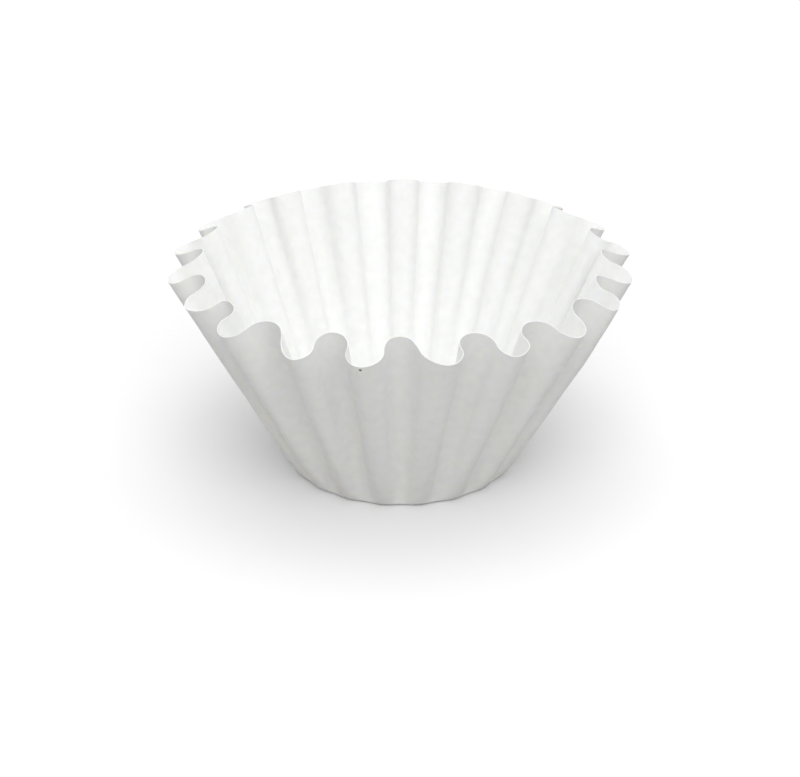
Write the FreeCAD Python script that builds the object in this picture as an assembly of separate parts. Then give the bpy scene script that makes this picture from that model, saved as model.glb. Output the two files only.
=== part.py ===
import FreeCAD, Part
import math
import os

# Paper coffee filter of the flat-bottomed, fluted basket kind, in millimetres.
# It is pressed from one round disc of thin paper.  The middle stays flat and
# the rest is folded up into a flared wall.  A ring that is folded up has more
# paper than its new circle needs, so the spare length stands in round flutes:
# they start at nothing on the crease and are deepest at the rim.
# Origin: centre of the flat base, on its underside.  +Z goes up, out of the
# mouth, and a ridge of the wall faces -Y.

# Driving dimensions
flat_diameter = 155.0        # the disc that the filter is pressed from
base_diameter = 50.0         # flat base, measured at the corner of the crease
flute_count = 20             # ridges, and as many lobes between them
flare_angle = 65.0           # middle line of the wall above the table, degrees
crease_radius = 1.2          # bend between base and wall, at the middle of the paper
paper_thickness = 0.15

# How finely the curved paper is drawn: both sides of it are narrow flat facets
steps_per_bend = 10          # round a ridge or a lobe; at the rim they stray 0.05 mm from the arc
crease_bands = 1
wall_bands = 4

# Worked out from the sizes above
pitch_angle = 2.0 * math.pi / flute_count
flare = math.radians(flare_angle)
half_paper = paper_thickness / 2.0
bend_steps = 2 * round(steps_per_bend / 2.0)
crease_rows = round(crease_bands)
wall_rows = round(wall_bands)
flat_radius = base_diameter / 2.0 - crease_radius * math.tan(flare / 2.0)
crease_length = crease_radius * flare
rim_length = flat_diameter / 2.0 - flat_radius
axis = FreeCAD.Vector(0, 0, 1)
centre = FreeCAD.Vector(0, 0, 0)


def round_point(radius, height, azimuth):
    """A point by its distance from the axis, its height and its angle from -Y."""
    return FreeCAD.Vector(radius * math.sin(azimuth), -radius * math.cos(azimuth), height)


def middle_line(length):
    """Radius, height and lean of the paper's middle, by its length from the start of the crease."""
    lean = min(length / crease_radius, flare)
    straight = max(length - crease_length, 0.0)
    radius = flat_radius + crease_radius * math.sin(lean) + straight * math.cos(flare)
    height = half_paper + crease_radius * (1.0 - math.cos(lean)) + straight * math.sin(flare)
    return radius, height, lean


def bend_pair(middle, half_pitch, half_paper_length):
    """A ridge and the lobe beside it as two tangent arcs of one radius, in a flat layout.

    The layout is the cone that stands square on the wall, unrolled: middle is the wall's
    distance from its apex, half_pitch the angle from ridge to lobe.  The bends move apart
    or together until they use up the paper between the two crests.  The result is the
    distance of each bend's centre from the apex, the bends' radius and the ridge's half turn.
    """
    deepest, flattest = -middle, middle
    while flattest - deepest > 1e-10:
        shift = (deepest + flattest) / 2.0
        ridge_centre = middle + shift
        lobe_centre = middle - shift
        across = lobe_centre * math.sin(half_pitch)
        along = ridge_centre - lobe_centre * math.cos(half_pitch)
        bend = math.hypot(across, along) / 2.0
        turn = math.atan2(across, along)
        if bend * (2.0 * turn + half_pitch) > half_paper_length:
            deepest = shift
        else:
            flattest = shift
    return ridge_centre, lobe_centre, bend, turn


def outline(length, skin):
    """Points across one flute, from the middle of a ridge's flank round the ridge and a lobe.

    length is the paper's length from the start of the crease, and skin how far outside
    the middle of the paper the points lie.
    """
    radius, height, lean = middle_line(length)
    steps = range(-bend_steps // 2, bend_steps + bend_steps // 2 + 1)
    if length <= crease_length:
        reach = radius + skin * math.sin(lean)
        level = height - skin * math.cos(lean)
        return [round_point(reach, level, pitch_angle / 2.0 * step / bend_steps) for step in steps]
    middle = radius / math.sin(lean)
    half_pitch = pitch_angle / 2.0 * math.sin(lean)
    half_paper_length = (flat_radius + length) * pitch_angle / 2.0
    ridge_centre, lobe_centre, bend, turn = bend_pair(middle, half_pitch, half_paper_length)
    points = []
    for step in steps:
        if step <= bend_steps // 2:
            angle = turn * 2.0 * step / bend_steps
            across = (bend - skin) * math.sin(angle)
            along = ridge_centre - (bend - skin) * math.cos(angle)
            swing = 0.0
        else:
            angle = (turn + half_pitch) * 2.0 * (step - bend_steps) / bend_steps
            across = (bend + skin) * math.sin(angle)
            along = lobe_centre + (bend + skin) * math.cos(angle)
            swing = half_pitch
        out = math.hypot(across, along) - middle
        azimuth = (swing + math.atan2(across, along)) / math.sin(lean)
        points.append(round_point(radius + out * math.sin(lean), height - out * math.cos(lean), azimuth))
    return points


def facets(lower, upper):
    """Flat triangles between two outlines, cut the same way on each side of a crest."""
    triangles = []
    for step in range(len(lower) - 1):
        corners = [lower[step], lower[step + 1], upper[step + 1], upper[step]]
        if (step + bend_steps // 2) % bend_steps < bend_steps // 2:
            corners = corners[1:] + corners[:1]
        first, second, third, fourth = corners
        for corner in (second, fourth):
            triangles.append(Part.Face(Part.makePolygon([first, corner, third, first])))
    return triangles


def flute_skin(skin):
    """One side of one flute, up the crease and then the wall, where the bands grow taller."""
    wall_length = rim_length - crease_length
    lengths = [crease_length * band / crease_rows for band in range(crease_rows)]
    lengths += [crease_length + wall_length * (band / wall_rows) ** 2 for band in range(wall_rows + 1)]
    outlines = [outline(length, skin) for length in lengths]
    triangles = []
    for lower, upper in zip(outlines, outlines[1:]):
        triangles += facets(lower, upper)
    return triangles


def all_round(shapes):
    """The shapes of one flute, repeated for every flute."""
    copies = []
    for index in range(flute_count):
        for shape in shapes:
            copy = shape.copy()
            copy.rotate(centre, axis, math.degrees(index * pitch_angle))
            copies.append(copy)
    return copies


def base_face(skin):
    """One side of the flat base."""
    points = outline(0.0, skin)
    edges = [Part.LineSegment(start, end).toShape() for start, end in zip(points, points[1:])]
    return Part.Face(Part.Wire(Part.__sortEdges__(all_round(edges))))


def filter_paper():
    """The whole filter: two skins of paper, the cut rim and both sides of the base."""
    flute = flute_skin(half_paper) + flute_skin(-half_paper)
    flute += facets(outline(rim_length, -half_paper), outline(rim_length, half_paper))
    shell = Part.makeShell(all_round(flute) + [base_face(half_paper), base_face(-half_paper)])
    shell.sewShape()
    solid = Part.makeSolid(shell)
    if solid.Volume < 0:
        solid.reverse()
    return solid


def main():
    os.makedirs("parts", exist_ok=True)
    shape = filter_paper()
    shape.exportStep(os.path.join("parts", "filter_paper.step"))
    box = shape.BoundBox
    print("filter_paper: valid", shape.isValid(), "closed", shape.isClosed(),
          "solids", len(shape.Solids), "faces", len(shape.Faces))
    print("size %.2f x %.2f x %.2f mm, from z %.3f" % (box.XLength, box.YLength, box.ZLength, box.ZMin))
    print("paper volume %.1f mm3, area of one side about %.0f mm2" % (shape.Volume, shape.Area / 2.0))


main()
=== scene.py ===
"""Looks of the paper coffee filter: fluted sheet, filter paper, table, light and camera."""
import math
from types import SimpleNamespace

import bpy
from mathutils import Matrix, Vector


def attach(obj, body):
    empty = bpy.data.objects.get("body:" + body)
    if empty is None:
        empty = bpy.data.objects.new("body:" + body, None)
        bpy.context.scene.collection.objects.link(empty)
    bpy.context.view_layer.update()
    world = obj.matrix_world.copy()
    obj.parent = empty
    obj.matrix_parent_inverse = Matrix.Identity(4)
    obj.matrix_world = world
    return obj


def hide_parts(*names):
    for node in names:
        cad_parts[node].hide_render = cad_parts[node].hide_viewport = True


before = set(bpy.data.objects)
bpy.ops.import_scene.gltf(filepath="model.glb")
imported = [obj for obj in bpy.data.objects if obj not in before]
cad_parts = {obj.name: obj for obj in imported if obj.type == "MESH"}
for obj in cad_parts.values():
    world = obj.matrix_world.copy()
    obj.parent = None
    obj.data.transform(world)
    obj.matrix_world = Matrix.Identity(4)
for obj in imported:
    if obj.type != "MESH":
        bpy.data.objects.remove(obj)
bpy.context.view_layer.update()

MM = 0.001
FULL_TURN = 2.0 * math.pi

# Driving sizes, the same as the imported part's
FLAT_DIAMETER = 155.0 * MM
BASE_DIAMETER = 50.0 * MM
CREASE_RADIUS = 1.2 * MM
PAPER_THICKNESS = 0.15 * MM
FLARE = math.radians(65.0)
FLUTES = 20

# How finely the sheet is drawn
COLUMNS_PER_FLUTE = 34
BASE_ROWS = 10
CREASE_ROWS = 6
WALL_ROWS = 42
ROWS = BASE_ROWS + CREASE_ROWS + WALL_ROWS
ROW_CROWDING = 1.3          # over 1, the wall's rows lie closer together at its foot

# How uneven the folded paper is, at most
FLUTE_SHIFT = 0.055         # radians that a flute moves round the axis
FLUTE_SWAY = 0.09           # share of its depth that a flute leans aside
WALL_BILLOW = 0.9 * MM      # a whole side of the wall, in or out
WALL_RIPPLE = 0.35 * MM     # a few flutes together, in or out
PAPER_DENTS = 0.22 * MM
BASE_DISH = 0.05 * MM

# Inputs of the tree that folds the sheet
SHEET_SIZES = {
    "Flutes": float(FLUTES),
    "Flat Diameter": FLAT_DIAMETER,
    "Base Diameter": BASE_DIAMETER,
    "Crease Radius": CREASE_RADIUS,
    "Flare": FLARE,
    "Paper Thickness": PAPER_THICKNESS,
    "Unevenness": 1.0,
    "Seed": 3.0,
}

# Small numbers that keep a division safe where the paper is flat or a radius is nothing
LEAST_BEND = 0.02
LEAST_RADIUS = 1e-6


class Term:
    """A number inside a node tree, so that a formula reads as it would on paper."""

    def __init__(self, tree, socket):
        self.tree = tree
        self.socket = socket

    def node(self, operation, *others):
        made = self.tree.nodes.new("ShaderNodeMath")
        made.operation = operation
        for place, value in enumerate((self,) + others):
            if isinstance(value, Term):
                self.tree.links.new(value.socket, made.inputs[place])
            else:
                made.inputs[place].default_value = value
        return Term(self.tree, made.outputs[0])

    def __add__(self, other):
        return self.node("ADD", other)

    def __sub__(self, other):
        return self.node("SUBTRACT", other)

    def __rsub__(self, other):
        return self * -1.0 + other

    def __mul__(self, other):
        return self.node("MULTIPLY", other)

    def __truediv__(self, other):
        return self.node("DIVIDE", other)

    def __rtruediv__(self, other):
        return self.node("POWER", -1.0) * other

    def __pow__(self, power):
        return self.node("POWER", power)

    def sine(self):
        return self.node("SINE")

    def cosine(self):
        return self.node("COSINE")

    def tangent(self):
        return self.node("TANGENT")

    def root(self):
        return self.node("SQRT")

    def rounded(self):
        return self.node("ROUND")

    def sign(self):
        return self.node("SIGN")

    def size(self):
        return self.node("ABSOLUTE")

    def less_than(self, limit):
        return self.node("LESS_THAN", limit)

    def at_least(self, least):
        return self.node("MAXIMUM", least)

    def kept_between(self, least, most):
        return self.node("MAXIMUM", least).node("MINIMUM", most)


def vector_of(tree, x, y, z):
    """Three terms or numbers as one vector socket."""
    node = tree.nodes.new("ShaderNodeCombineXYZ")
    for place, value in enumerate((x, y, z)):
        if isinstance(value, Term):
            tree.links.new(value.socket, node.inputs[place])
        else:
            node.inputs[place].default_value = value
    return node.outputs[0]


def round_place(tree, reach, azimuth, height):
    """A place by its distance from the axis, its angle from -Y and its height."""
    return vector_of(tree, azimuth.sine() * reach, azimuth.cosine() * reach * -1.0, height)


def noise_round(tree, azimuth, seed, lumps, draw):
    """Smooth noise between about -1 and 1 that comes back to its start after one turn.

    It is read on a circle whose radius is lumps.  draw is a different number for each use.
    """
    node = tree.nodes.new("ShaderNodeTexNoise")
    node.noise_dimensions = "4D"
    node.inputs["Scale"].default_value = 1.0
    node.inputs["Detail"].default_value = 1.0
    place = vector_of(tree, azimuth.sine() * lumps, azimuth.cosine() * lumps, draw)
    tree.links.new(place, node.inputs["Vector"])
    tree.links.new((seed + draw).socket, node.inputs["W"])
    return (Term(tree, node.outputs[0]) - 0.5) * 3.0


def noise_on_sheet(tree, azimuth, paper_radius, seed, scale):
    """Smooth noise between about -1 and 1 on the flat disc."""
    node = tree.nodes.new("ShaderNodeTexNoise")
    node.inputs["Scale"].default_value = scale
    node.inputs["Detail"].default_value = 1.5
    place = vector_of(tree, azimuth.sine() * paper_radius, azimuth.cosine() * paper_radius, seed)
    tree.links.new(place, node.inputs["Vector"])
    return (Term(tree, node.outputs[0]) - 0.5) * 3.0


def sheet_inputs(tree):
    """The tree's named inputs, as terms."""
    for name, value in SHEET_SIZES.items():
        made = tree.interface.new_socket(name, in_out="INPUT", socket_type="NodeSocketFloat")
        made.default_value = value
    entry = tree.nodes.new("NodeGroupInput")
    return {name: Term(tree, entry.outputs[name]) for name in SHEET_SIZES}


def square_net(tree, flutes):
    """A square net that becomes the disc: its columns go round the filter, its rows up to the rim.

    With the net come each point's turn, counted in flutes, and its row.
    """
    net = tree.nodes.new("GeometryNodeMeshGrid")
    net.inputs["Vertices X"].default_value = FLUTES * COLUMNS_PER_FLUTE + 1
    net.inputs["Vertices Y"].default_value = ROWS + 1
    place = tree.nodes.new("GeometryNodeInputPosition")
    parts = tree.nodes.new("ShaderNodeSeparateXYZ")
    tree.links.new(place.outputs[0], parts.inputs[0])
    turn = (Term(tree, parts.outputs["X"]) + 0.5) * flutes
    row = (Term(tree, parts.outputs["Y"]) + 0.5) * ROWS
    return net.outputs["Mesh"], turn, row


def section(sizes, row):
    """Middle line of the paper's section, from the centre of the base over the crease to the rim."""
    crease = sizes["Crease Radius"]
    flare = sizes["Flare"]
    on_base = (row / BASE_ROWS).kept_between(0.0, 1.0)
    on_crease = ((row - BASE_ROWS) / CREASE_ROWS).kept_between(0.0, 1.0)
    on_wall = ((row - (BASE_ROWS + CREASE_ROWS)) / WALL_ROWS).kept_between(0.0, 1.0)
    flat_radius = sizes["Base Diameter"] / 2.0 - crease * (flare / 2.0).tangent()
    wall_length = sizes["Flat Diameter"] / 2.0 - flat_radius - crease * flare
    lean = flare * on_crease
    straight = wall_length * on_wall ** ROW_CROWDING
    rise = (1.0 - lean.cosine()) * crease + straight * flare.sine()
    return SimpleNamespace(
        lean=lean,
        paper_radius=flat_radius * on_base + crease * lean + straight,
        radius=flat_radius * on_base + crease * lean.sine() + straight * flare.cosine(),
        height=rise + sizes["Paper Thickness"] / 2.0,
        up_wall=straight / wall_length,
        on_flat=on_base * (1.0 - on_crease),
    )


def flute_place(turn):
    """Which flute a column belongs to, and where along its bend it lies, from -1 to 1."""
    flute = turn.rounded()
    quarter = (turn - flute) * 4.0
    on_ridge = quarter.size().less_than(1.0)
    from_lobe = quarter - quarter.sign() * 2.0
    return SimpleNamespace(
        number=flute,
        on_ridge=on_ridge,
        side=quarter.sign() * (1.0 - on_ridge),
        along=from_lobe + (quarter - from_lobe) * on_ridge,
    )


def fluted_sheet_tree(material):
    """The filter's middle surface: a round disc whose spare paper stands in flutes."""
    tree = bpy.data.node_groups.new("fluted sheet", "GeometryNodeTree")
    sizes = sheet_inputs(tree)
    tree.interface.new_socket("Sheet", in_out="OUTPUT", socket_type="NodeSocketGeometry")
    flutes = sizes["Flutes"]
    flare = sizes["Flare"]
    uneven = sizes["Unevenness"]
    seed = sizes["Seed"]
    net, turn, row = square_net(tree, flutes)
    line = section(sizes, row)
    flute = flute_place(turn)
    azimuth = turn * FULL_TURN / flutes
    pitch = FULL_TURN / flutes

    # Flutes are a little wider here and narrower there, and the narrow ones stand deeper
    def wander(at):
        return noise_round(tree, at, seed, lumps=2.6, draw=1.0)

    step = 0.02
    at_rim = uneven * line.up_wall
    widening = (wander(azimuth + step) - wander(azimuth - step)) / (2.0 * step) * at_rim * FLUTE_SHIFT
    shift = wander(azimuth) * at_rim * FLUTE_SHIFT

    # Each bend is an arc.  Its half turn comes from the paper's length over the chord, by a series
    spare = line.paper_radius / line.radius.at_least(LEAST_RADIUS) / (widening + 1.0) - 1.0
    spare = spare.kept_between(0.0, 0.8)
    bend = (spare * (6.0 - spare * (4.2 - spare * 2.2))).root()
    safe_bend = bend.at_least(LEAST_BEND)
    wave = line.radius * (widening + 1.0) * FULL_TURN / flutes
    arc = wave / (safe_bend.sine() * 4.0)
    begun = (bend / LEAST_BEND).kept_between(0.0, 1.0)
    rise = arc * ((flute.along * safe_bend).cosine() - safe_bend.cosine()) * begun
    depth = rise * (flute.on_ridge * 2.0 - 1.0)
    inward = depth * line.lean.sine()

    # Angle of the column.  A crest that lies further in takes a wider angle for the same width
    sway = noise_round(tree, azimuth, seed, lumps=3.1, draw=5.0) * uneven * FLUTE_SWAY
    sway = sway * depth / line.radius.at_least(5.0 * MM)
    part_way = (flute.along * safe_bend).sine() / (safe_bend.sine() * 4.0) * pitch
    fanned = inward / (line.radius - inward).at_least(LEAST_RADIUS) * (1.0 - flute.along * flute.along)
    centre = flute.number * pitch + flute.side * pitch / 2.0
    angle = centre + part_way * (fanned + 1.0) + shift + sway

    # The wall leans out a little more on one side than on another, and the paper has soft dents
    at_top = at_rim * line.up_wall
    billow = noise_round(tree, azimuth, seed, lumps=1.1, draw=9.0) * at_top * WALL_BILLOW
    ripple = noise_round(tree, azimuth, seed, lumps=3.4, draw=13.0) * at_top * WALL_RIPPLE
    dents = noise_on_sheet(tree, azimuth, line.paper_radius, seed, scale=80.0)
    dents = dents * uneven * line.up_wall.root() * PAPER_DENTS
    dish = noise_round(tree, azimuth, seed, lumps=1.6, draw=17.0) * uneven * line.on_flat * BASE_DISH
    bulge = billow + ripple + dents
    out = line.radius - inward + bulge * flare.sine()
    level = line.height + depth * line.lean.cosine() - bulge * flare.cosine() + dish.size()

    # The flat disc's own coordinates stay on the paper, for the grain and the fleck
    kept = tree.nodes.new("GeometryNodeStoreNamedAttribute")
    kept.data_type = "FLOAT_VECTOR"
    kept.domain = "POINT"
    kept.inputs["Name"].default_value = "flat_disc"
    tree.links.new(round_place(tree, line.paper_radius, azimuth, 0.0), kept.inputs["Value"])
    placed = tree.nodes.new("GeometryNodeSetPosition")
    tree.links.new(round_place(tree, out, angle, level), placed.inputs["Position"])

    # Merging closes the seam and the pole
    joined = tree.nodes.new("GeometryNodeMergeByDistance")
    joined.inputs["Distance"].default_value = 0.002 * MM
    real = tree.nodes.new("GeometryNodeRealizeInstances")
    finish = tree.nodes.new("GeometryNodeSetMaterial")
    finish.inputs["Material"].default_value = material
    leave = tree.nodes.new("NodeGroupOutput")
    sheet = net
    for stage in (kept, placed, joined, real, finish):
        tree.links.new(sheet, stage.inputs["Geometry"])
        sheet = stage.outputs[0]
    tree.links.new(sheet, leave.inputs["Sheet"])
    return tree


def paper_grain_group():
    """Felted fibres and fine crepe of unglazed paper: a height and a cloudy shade."""
    tree = bpy.data.node_groups.new("paper grain", "ShaderNodeTree")
    tree.interface.new_socket("Vector", in_out="INPUT", socket_type="NodeSocketVector")
    for name, value in (("Fibre Length", 1.2 * MM), ("Crepe Pitch", 0.7 * MM), ("Crepe", 0.3)):
        made = tree.interface.new_socket(name, in_out="INPUT", socket_type="NodeSocketFloat")
        made.default_value = value
    for name in ("Height", "Cloud"):
        tree.interface.new_socket(name, in_out="OUTPUT", socket_type="NodeSocketFloat")
    entry = tree.nodes.new("NodeGroupInput")
    leave = tree.nodes.new("NodeGroupOutput")

    def noise(scale, stretch, turn, detail):
        mapping = tree.nodes.new("ShaderNodeMapping")
        mapping.inputs["Rotation"].default_value = (0.0, 0.0, math.radians(turn))
        mapping.inputs["Scale"].default_value = (stretch, 1.0, 1.0)
        texture = tree.nodes.new("ShaderNodeTexNoise")
        texture.inputs["Detail"].default_value = detail
        tree.links.new(entry.outputs["Vector"], mapping.inputs["Vector"])
        tree.links.new(mapping.outputs[0], texture.inputs["Vector"])
        tree.links.new(scale.socket, texture.inputs["Scale"])
        return Term(tree, texture.outputs[0])

    # Fibres lie in three directions, and the topmost one shows
    fibre_scale = 1.0 / Term(tree, entry.outputs["Fibre Length"])
    fibres = [noise(fibre_scale, stretch=7.0, turn=turn, detail=2.0) for turn in (25.0, 112.0, 68.0)]
    felt = fibres[0].at_least(fibres[1]).at_least(fibres[2])
    crepe_scale = 1.0 / Term(tree, entry.outputs["Crepe Pitch"])
    crepe = noise(crepe_scale, stretch=0.12, turn=0.0, detail=1.0)
    height = felt + crepe * Term(tree, entry.outputs["Crepe"])

    contrast = 2.6
    cloud = noise(fibre_scale * 0.5, stretch=1.0, turn=0.0, detail=4.0)
    cloud = ((cloud - 0.5) * contrast + 0.5).kept_between(0.0, 1.0)
    tree.links.new(height.socket, leave.inputs["Height"])
    tree.links.new(cloud.socket, leave.inputs["Cloud"])
    return tree


def fleck_group():
    """A mask of one where a small ragged fleck lies in the sheet."""
    tree = bpy.data.node_groups.new("fleck", "ShaderNodeTree")
    tree.interface.new_socket("Vector", in_out="INPUT", socket_type="NodeSocketVector")
    tree.interface.new_socket("Place", in_out="INPUT", socket_type="NodeSocketVector")
    made = tree.interface.new_socket("Radius", in_out="INPUT", socket_type="NodeSocketFloat")
    made.default_value = 0.3 * MM
    tree.interface.new_socket("Mask", in_out="OUTPUT", socket_type="NodeSocketFloat")
    entry = tree.nodes.new("NodeGroupInput")
    leave = tree.nodes.new("NodeGroupOutput")
    away = tree.nodes.new("ShaderNodeVectorMath")
    away.operation = "DISTANCE"
    tree.links.new(entry.outputs["Vector"], away.inputs[0])
    tree.links.new(entry.outputs["Place"], away.inputs[1])
    ragged = tree.nodes.new("ShaderNodeTexNoise")
    ragged.inputs["Scale"].default_value = 4000.0
    tree.links.new(entry.outputs["Vector"], ragged.inputs["Vector"])

    # Distance in radii, shaken by the noise, and a soft edge where it reaches the limit
    raggedness = 0.9
    limit = 1.25
    sharpness = 2.5
    distance = Term(tree, away.outputs["Value"]) / Term(tree, entry.outputs["Radius"])
    distance = distance + (Term(tree, ragged.outputs[0]) - 0.5) * raggedness
    mask = ((limit - distance) * sharpness).kept_between(0.0, 1.0)
    tree.links.new(mask.socket, leave.inputs["Mask"])
    return tree


def new_material(name):
    """A material with its tree and its Principled shader."""
    material = bpy.data.materials.new(name)
    material.use_nodes = True
    tree = material.node_tree
    return material, tree, tree.nodes["Principled BSDF"]


def filter_paper_material():
    """Unglazed white paper: matt, a little warm, and light comes through it softly."""
    material, tree, shader = new_material("filter paper")
    sheet = tree.nodes.new("ShaderNodeAttribute")
    sheet.attribute_name = "flat_disc"
    grain = tree.nodes.new("ShaderNodeGroup")
    grain.node_tree = paper_grain_group()
    tree.links.new(sheet.outputs["Vector"], grain.inputs["Vector"])

    # One tiny fleck, just inside the rim and a little left of the front
    fleck = tree.nodes.new("ShaderNodeGroup")
    fleck.node_tree = fleck_group()
    tree.links.new(sheet.outputs["Vector"], fleck.inputs["Vector"])
    fleck_turn = math.radians(-9.2)
    fleck_reach = FLAT_DIAMETER / 2.0 - 1.0 * MM
    fleck_place = (fleck_reach * math.sin(fleck_turn), -fleck_reach * math.cos(fleck_turn), 0.0)
    fleck.inputs["Place"].default_value = fleck_place

    # Cloudy formation of the sheet, and the fleck over it
    tone = tree.nodes.new("ShaderNodeMix")
    tone.data_type = "RGBA"
    tone.inputs["A"].default_value = (0.868, 0.872, 0.858, 1.0)
    tone.inputs["B"].default_value = (0.905, 0.909, 0.9, 1.0)
    tree.links.new(grain.outputs["Cloud"], tone.inputs["Factor"])
    stained = tree.nodes.new("ShaderNodeMix")
    stained.data_type = "RGBA"
    stained.inputs["B"].default_value = (0.16, 0.15, 0.13, 1.0)
    tree.links.new(fleck.outputs["Mask"], stained.inputs["Factor"])
    tree.links.new(tone.outputs["Result"], stained.inputs["A"])
    tree.links.new(stained.outputs["Result"], shader.inputs["Base Color"])

    rough = tree.nodes.new("ShaderNodeMapRange")
    rough.inputs["To Min"].default_value = 0.82
    rough.inputs["To Max"].default_value = 0.95
    tree.links.new(grain.outputs["Height"], rough.inputs["Value"])
    tree.links.new(rough.outputs[0], shader.inputs["Roughness"])

    bump = tree.nodes.new("ShaderNodeBump")
    bump.inputs["Strength"].default_value = 0.6
    bump.inputs["Distance"].default_value = 0.07 * MM
    tree.links.new(grain.outputs["Height"], bump.inputs["Height"])
    tree.links.new(bump.outputs[0], shader.inputs["Normal"])

    shader.inputs["Subsurface Weight"].default_value = 0.85
    shader.inputs["Subsurface Radius"].default_value = (1.0, 0.95, 0.84)
    shader.inputs["Subsurface Scale"].default_value = 0.2 * MM
    shader.inputs["Specular IOR Level"].default_value = 0.25
    shader.inputs["Sheen Weight"].default_value = 0.08
    shader.inputs["Sheen Roughness"].default_value = 0.6
    return material


def seen_directly(tree):
    """One where the camera, a reflection or clear matter shows the surface, else nothing."""
    path = tree.nodes.new("ShaderNodeLightPath")
    glossy = Term(tree, path.outputs["Is Glossy Ray"])
    clear = Term(tree, path.outputs["Is Transmission Ray"])
    return Term(tree, path.outputs["Is Camera Ray"]).at_least(glossy).at_least(clear)


def table_material():
    """A white table that is pure white in the picture far from the filter and keeps the filter's soft
    shadow; towards the filter it is drawn greyer, partly real shadow and partly painted shade.
    """
    lit_reach = 0.05        # up to here the table shows the light that falls on it
    white_reach = 0.16      # and from here on it is pure white
    own_glow = 0.03         # what it glows by itself near the filter
    seen_tone = 0.91
    bounced_tone = 0.37     # its tone in the light that it throws back on the filter
    material, tree, shader = new_material("white table")
    seen = seen_directly(tree)
    where = tree.nodes.new("ShaderNodeTexCoord")
    away = tree.nodes.new("ShaderNodeVectorMath")
    away.operation = "LENGTH"
    tree.links.new(where.outputs["Object"], away.inputs[0])
    # Towards the filter the glow fades and the shown tone stays under white, so the table greys around
    # the filter: painted shade, over which the lamps' real shadow falls
    near = (white_reach - Term(tree, away.outputs["Value"])) / (white_reach - lit_reach)
    near = near.kept_between(0.0, 1.0)
    glow = seen * (1.0 - near * (1.0 - own_glow))
    tone = seen * (near * seen_tone) + (1.0 - seen) * bounced_tone
    tint = tree.nodes.new("ShaderNodeCombineColor")
    for channel in ("Red", "Green", "Blue"):
        tree.links.new(tone.socket, tint.inputs[channel])
    tree.links.new(tint.outputs[0], shader.inputs["Base Color"])
    shader.inputs["Roughness"].default_value = 0.9
    shader.inputs["Specular IOR Level"].default_value = 0.1
    shader.inputs["Emission Color"].default_value = (1.0, 1.0, 1.0, 1.0)
    tree.links.new(glow.socket, shader.inputs["Emission Strength"])
    return material


def in_scene(thing):
    """Puts an object into the scene."""
    bpy.context.scene.collection.objects.link(thing)
    return thing


def plain_mesh(thing):
    """A plain mesh of what an object looks like with its modifiers."""
    graph = bpy.context.evaluated_depsgraph_get()
    return bpy.data.meshes.new_from_object(thing.evaluated_get(graph), depsgraph=graph)


def fluted_filter(material):
    """The whole filter as one closed skin, a plain mesh at the origin."""
    tree = fluted_sheet_tree(material)
    start = in_scene(bpy.data.objects.new("unfolded", bpy.data.meshes.new("unfolded")))
    fold = start.modifiers.new("fold", "NODES")
    fold.node_group = tree
    for item in tree.interface.items_tree:
        if item.in_out == "INPUT":
            fold[item.identifier] = SHEET_SIZES[item.name]
    middle_surface = plain_mesh(start)
    bpy.data.objects.remove(start)
    middle_surface.name = "fluted_sheet"
    sheet = in_scene(bpy.data.objects.new("fluted_sheet", middle_surface))
    thicken = sheet.modifiers.new("paper thickness", "SOLIDIFY")
    thicken.thickness = PAPER_THICKNESS
    thicken.offset = 0.0
    thicken.use_even_offset = True
    thicken.use_quality_normals = True
    closed_skin = plain_mesh(sheet)
    sheet.modifiers.clear()
    sheet.data = closed_skin
    closed_skin.shade_smooth()
    closed_skin.set_sharp_from_angle(angle=math.radians(50.0))
    return sheet


def white_table():
    """A wide table whose far edge is out of every view."""
    reach = 6.0
    mesh = bpy.data.meshes.new("table")
    corners = [(-reach, -reach, 0.0), (reach, -reach, 0.0), (reach, reach, 0.0), (-reach, reach, 0.0)]
    mesh.from_pydata(corners, [], [(0, 1, 2, 3)])
    mesh.materials.append(table_material())
    table = in_scene(bpy.data.objects.new("table", mesh))


def round_lamp(name, place, aim, diameter, power):
    """A round area lamp that points at a place."""
    data = bpy.data.lights.new(name, "AREA")
    data.shape = "DISK"
    data.size = diameter
    data.energy = power
    lamp = in_scene(bpy.data.objects.new(name, data))
    lamp.location = place
    lamp.rotation_euler = (Vector(aim) - Vector(place)).to_track_quat("-Z", "Y").to_euler()


def studio():
    """A bright white room with one broad lamp above and one in front."""
    room_light = 0.64
    filter_middle = (0.0, 0.0, 0.03)
    world = bpy.data.worlds.new("white room")
    bpy.context.scene.world = world
    world.use_nodes = True
    tree = world.node_tree
    room = tree.nodes["Background"]
    room.inputs["Color"].default_value = (1.0, 1.0, 1.0, 1.0)
    strength = seen_directly(tree) * (1.0 - room_light) + room_light
    tree.links.new(strength.socket, room.inputs["Strength"])
    round_lamp("lamp above", (0.06, 0.15, 1.15), filter_middle, diameter=1.2, power=4.4)
    round_lamp("lamp in front", (0.08, -0.85, 0.9), filter_middle, diameter=1.0, power=5.9)


def camera():
    """The photograph's place: from the front and about 27 degrees above."""
    pitch = math.radians(26.73)
    distance = 0.4752
    aim = Vector((-0.28, 0.0, 16.07)) * MM
    data = bpy.data.cameras.new("camera")
    data.sensor_fit = "HORIZONTAL"
    data.sensor_width = 36.0
    data.lens = 94.9
    data.clip_start = 0.01
    data.clip_end = 50.0
    viewer = in_scene(bpy.data.objects.new("camera", data))
    viewer.location = aim + Vector((0.0, -distance * math.cos(pitch), distance * math.sin(pitch)))
    viewer.rotation_euler = (math.pi / 2.0 - pitch, 0.0, 0.0)
    bpy.context.scene.camera = viewer


sheet = fluted_filter(filter_paper_material())
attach(sheet, "root")
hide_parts("filter_paper")
white_table()
studio()
camera()
bpy.context.scene.view_settings.view_transform = "Standard"
